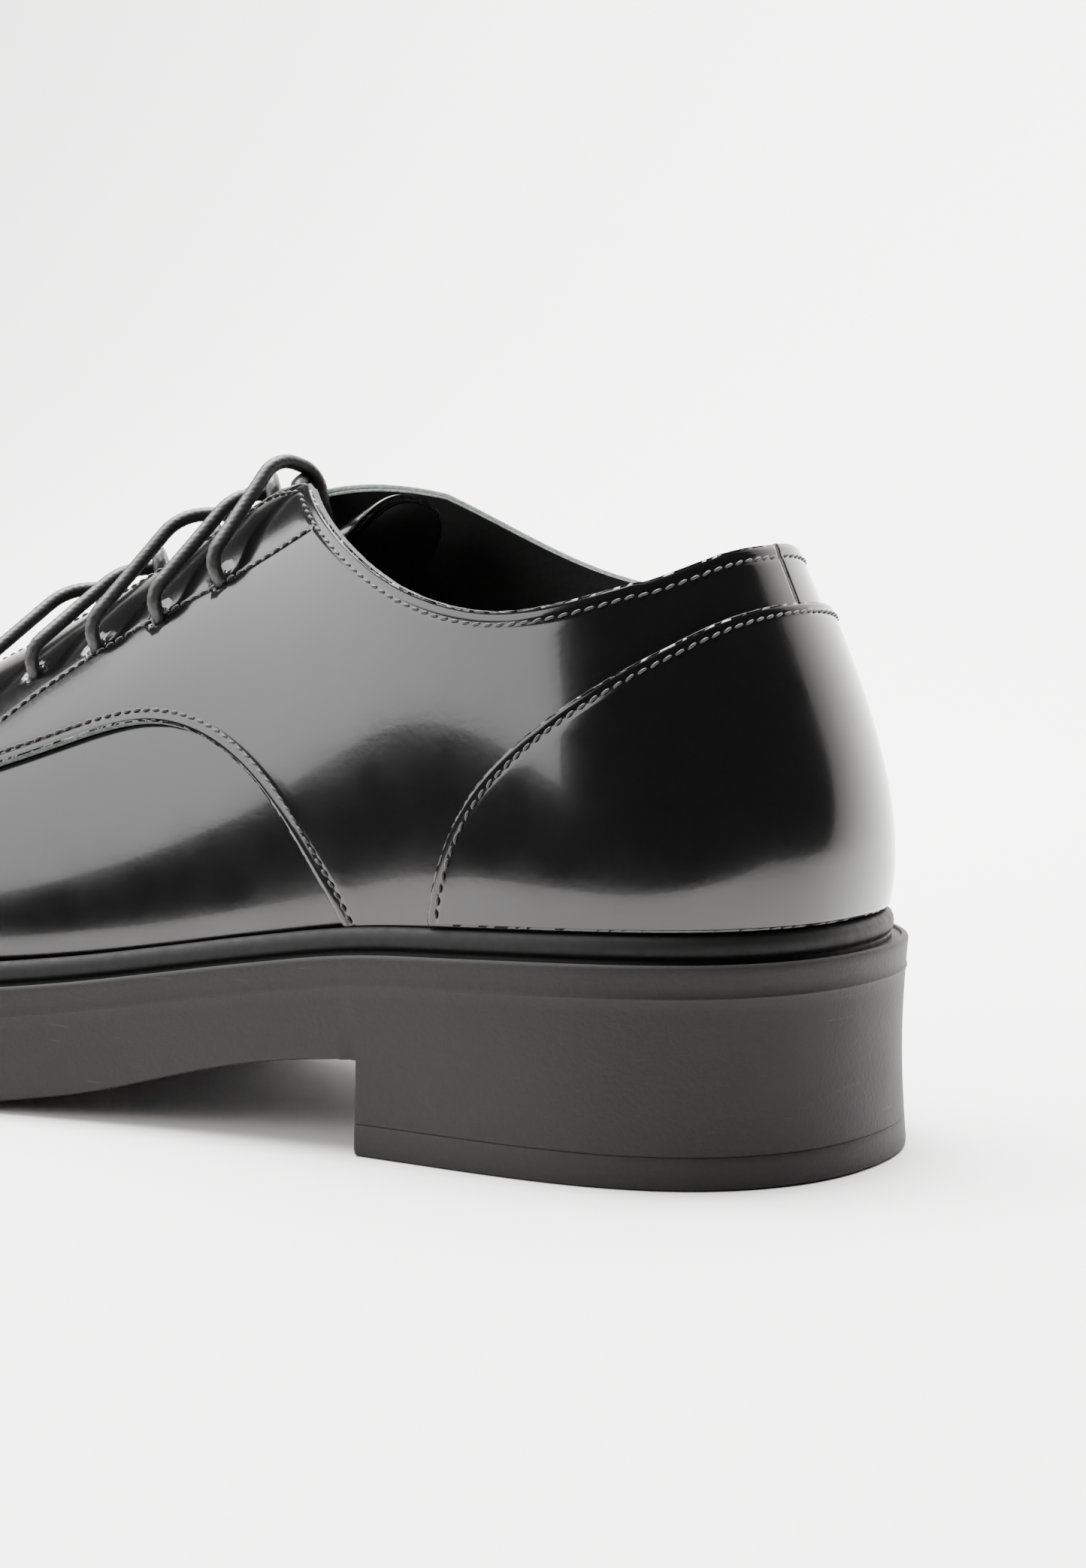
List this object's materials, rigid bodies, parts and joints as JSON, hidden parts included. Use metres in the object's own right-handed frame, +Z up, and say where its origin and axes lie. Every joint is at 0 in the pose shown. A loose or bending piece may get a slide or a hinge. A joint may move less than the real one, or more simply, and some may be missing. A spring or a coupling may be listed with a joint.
{
  "type": "leather derby shoe",
  "caption": "Left low-cut laced derby shoe in polished black leather with a plain vamp, heel counter patch, round laces and a thick rubber unit sole.",
  "frame": {"origin": "middle of the shoe's bounding box, at the ground", "axes": "+X towards the toe, +Y towards the outer side of this left shoe, +Z up"},
  "size_m": [0.284, 0.0986, 0.1048],
  "materials": {
    "polished_leather": "high gloss, polished",
    "sole_rubber": "matte, fine moulded grain",
    "rand_rubber": "semi gloss",
    "lining_leather": "smooth, satin",
    "board": "matte fibre board",
    "foam": "matte foam",
    "stiffener": "matte",
    "steel": "satin",
    "eyelet_metal": "black lacquer",
    "waxed_cord": "waxed round braid",
    "aglet": "gloss"
  },
  "bodies": {
    "shoe": {"outsole": "sole_rubber", "heel_top_lift": "sole_rubber", "rand": "rand_rubber", "bottom_filler": "foam", "shank": "steel", "insole_board": "board", "heel_pad": "foam", "sock_liner": "lining_leather", "vamp": "polished_leather", "vamp_lining": "lining_leather", "toe_puff": "stiffener", "counter_patch": "polished_leather", "heel_stiffener": "stiffener", "lace": "waxed_cord", "aglets": "aglet", "quarter_outer": "polished_leather", "quarter_inner": "polished_leather", "quarter_lining_outer": "lining_leather", "quarter_lining_inner": "lining_leather", "eyelet_stay_outer": "stiffener", "eyelet_stay_inner": "stiffener", "eyelets_outer": "eyelet_metal", "eyelets_inner": "eyelet_metal"},
    "tongue": {"tongue": "polished_leather", "tongue_lining": "lining_leather"}
  },
  "joints": [
    {"name": "tongue_hinge", "type": "hinge", "parent": "shoe", "child": "tongue", "pos_m": [0.0326, -0.00173, 0.0606], "axis": [0, -1, 0], "range_deg": [0, 16], "stiffness_Nm_per_rad": 0.35}
  ]
}
